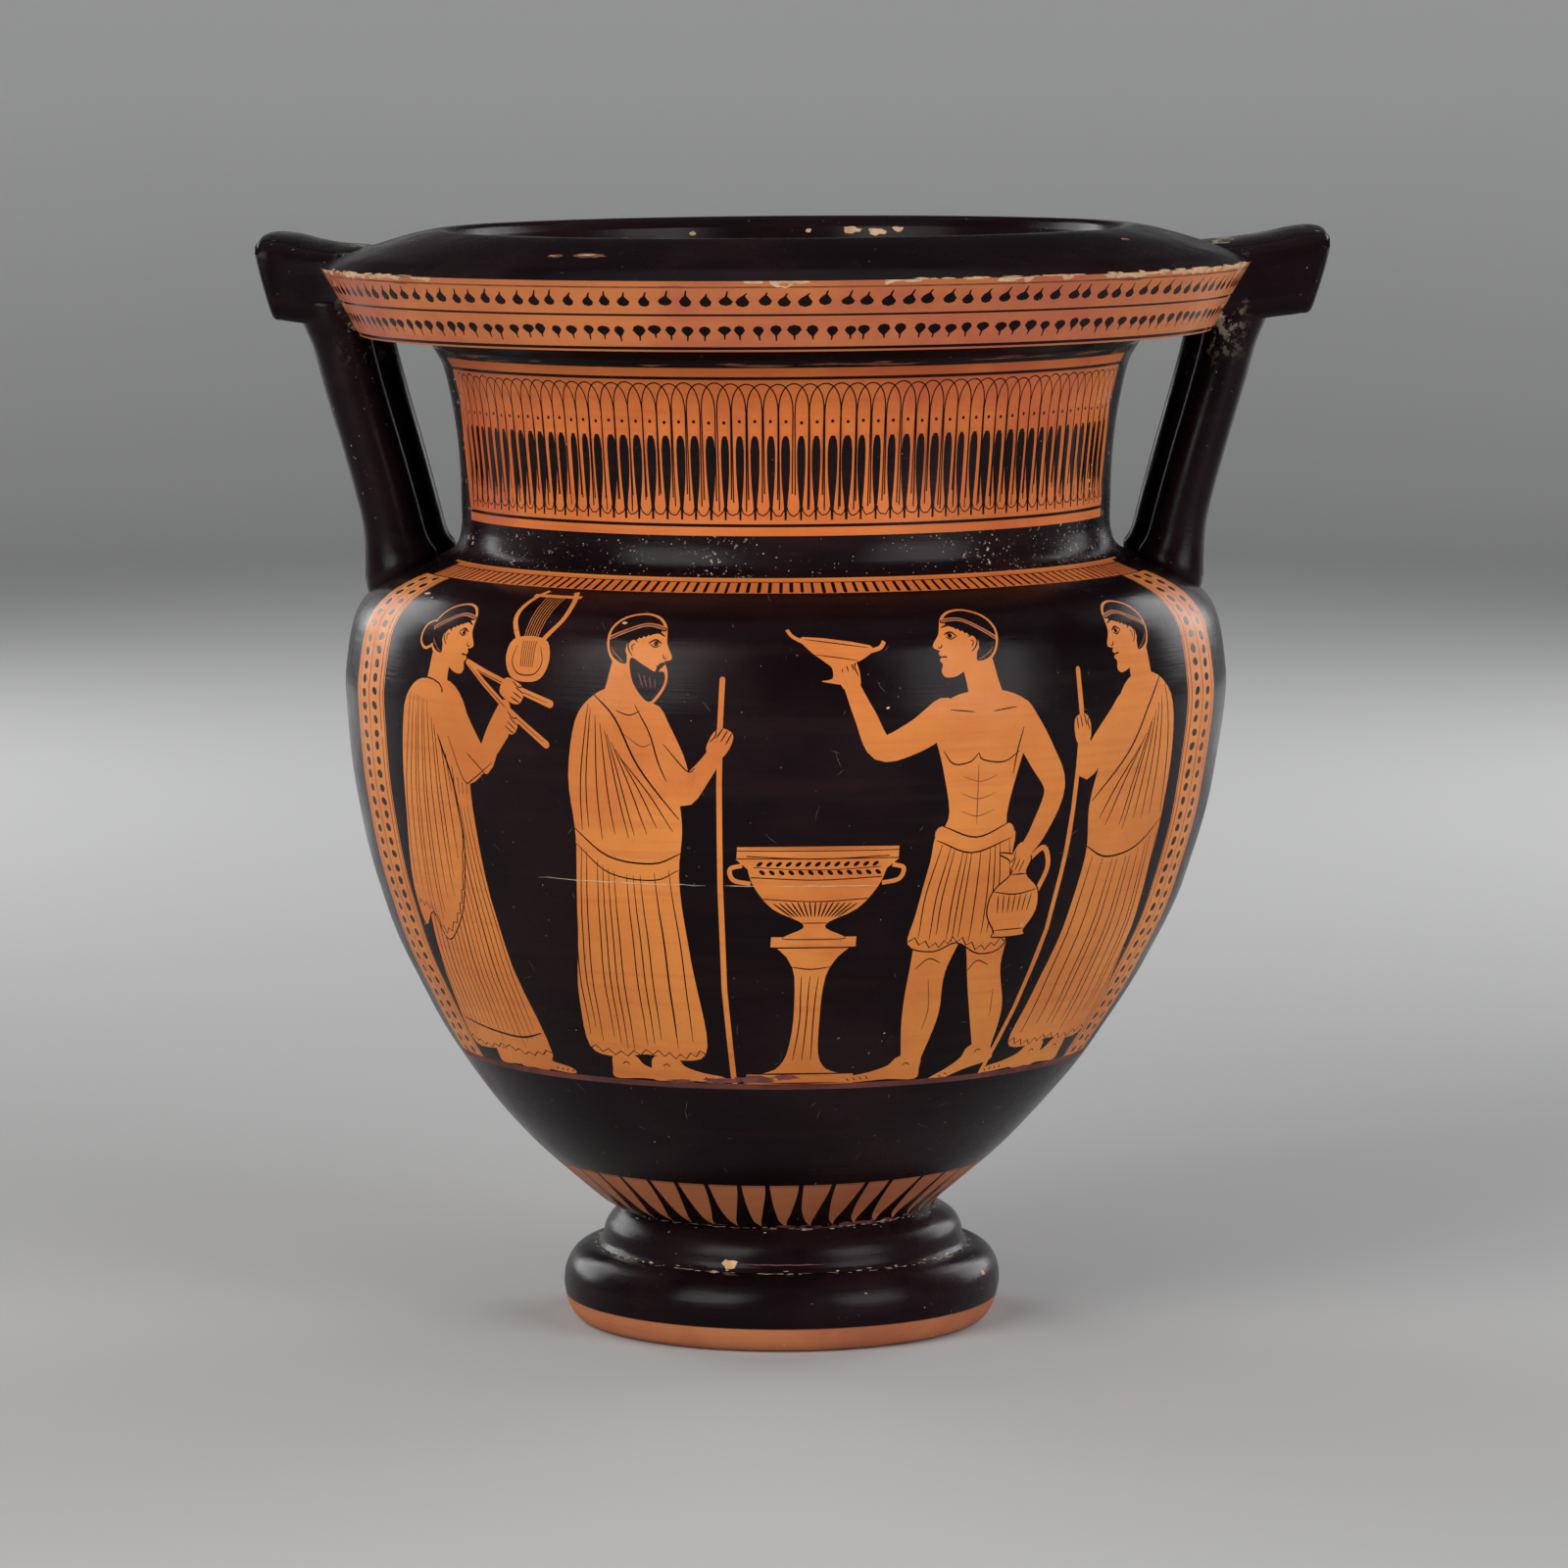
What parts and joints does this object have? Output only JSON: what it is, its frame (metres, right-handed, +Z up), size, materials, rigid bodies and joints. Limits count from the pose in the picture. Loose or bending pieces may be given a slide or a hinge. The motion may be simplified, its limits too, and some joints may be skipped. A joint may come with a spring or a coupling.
{
  "type": "greek column-krater",
  "caption": "Wheel-thrown column-krater with overhanging lip, two column handles with rim plates, moulded foot, and red-figure panels on black gloss.",
  "frame": {"origin": "middle of the object's outline on the surface it stands on, under the foot", "axes": "+Z up along the pot's axis, -Y towards the front panel, X through the two handles"},
  "size_m": [0.3938, 0.342, 0.4067],
  "materials": {
    "glossed_clay": "black gloss slip over orange clay, satin to glossy"
  },
  "bodies": {
    "root": {"krater": "glossed_clay"}
  },
  "joints": []
}
